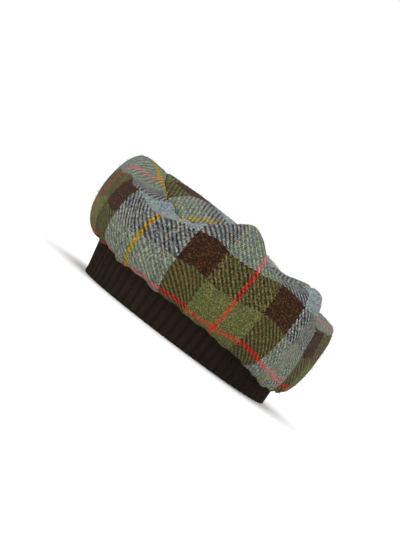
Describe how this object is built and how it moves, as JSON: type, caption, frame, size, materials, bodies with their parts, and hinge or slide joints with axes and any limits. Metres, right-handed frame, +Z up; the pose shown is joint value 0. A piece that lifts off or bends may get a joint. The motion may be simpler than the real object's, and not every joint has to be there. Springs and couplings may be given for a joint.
{
  "type": "tweed beret",
  "caption": "Soft tweed beret: a checked crown gathered onto a ribbed knitted band, hanging over it, with the rim drawn up in two soft corners.",
  "frame": {"origin": "middle of the hat's box, on the plane of the band's lower rim", "axes": "-Y towards the forehead, +X towards the wearer's left, +Z up"},
  "size_m": [0.231, 0.2498, 0.111],
  "materials": {
    "checked_tweed": "heathered wool twill in a green, brown and grey-blue check with thin red and yellow lines",
    "brown_rib_knit": "dark brown wool in a two-by-two rib"
  },
  "bodies": {
    "root": {"knit_band": "brown_rib_knit", "crown_side": "checked_tweed", "crown_top": "checked_tweed"}
  },
  "joints": []
}
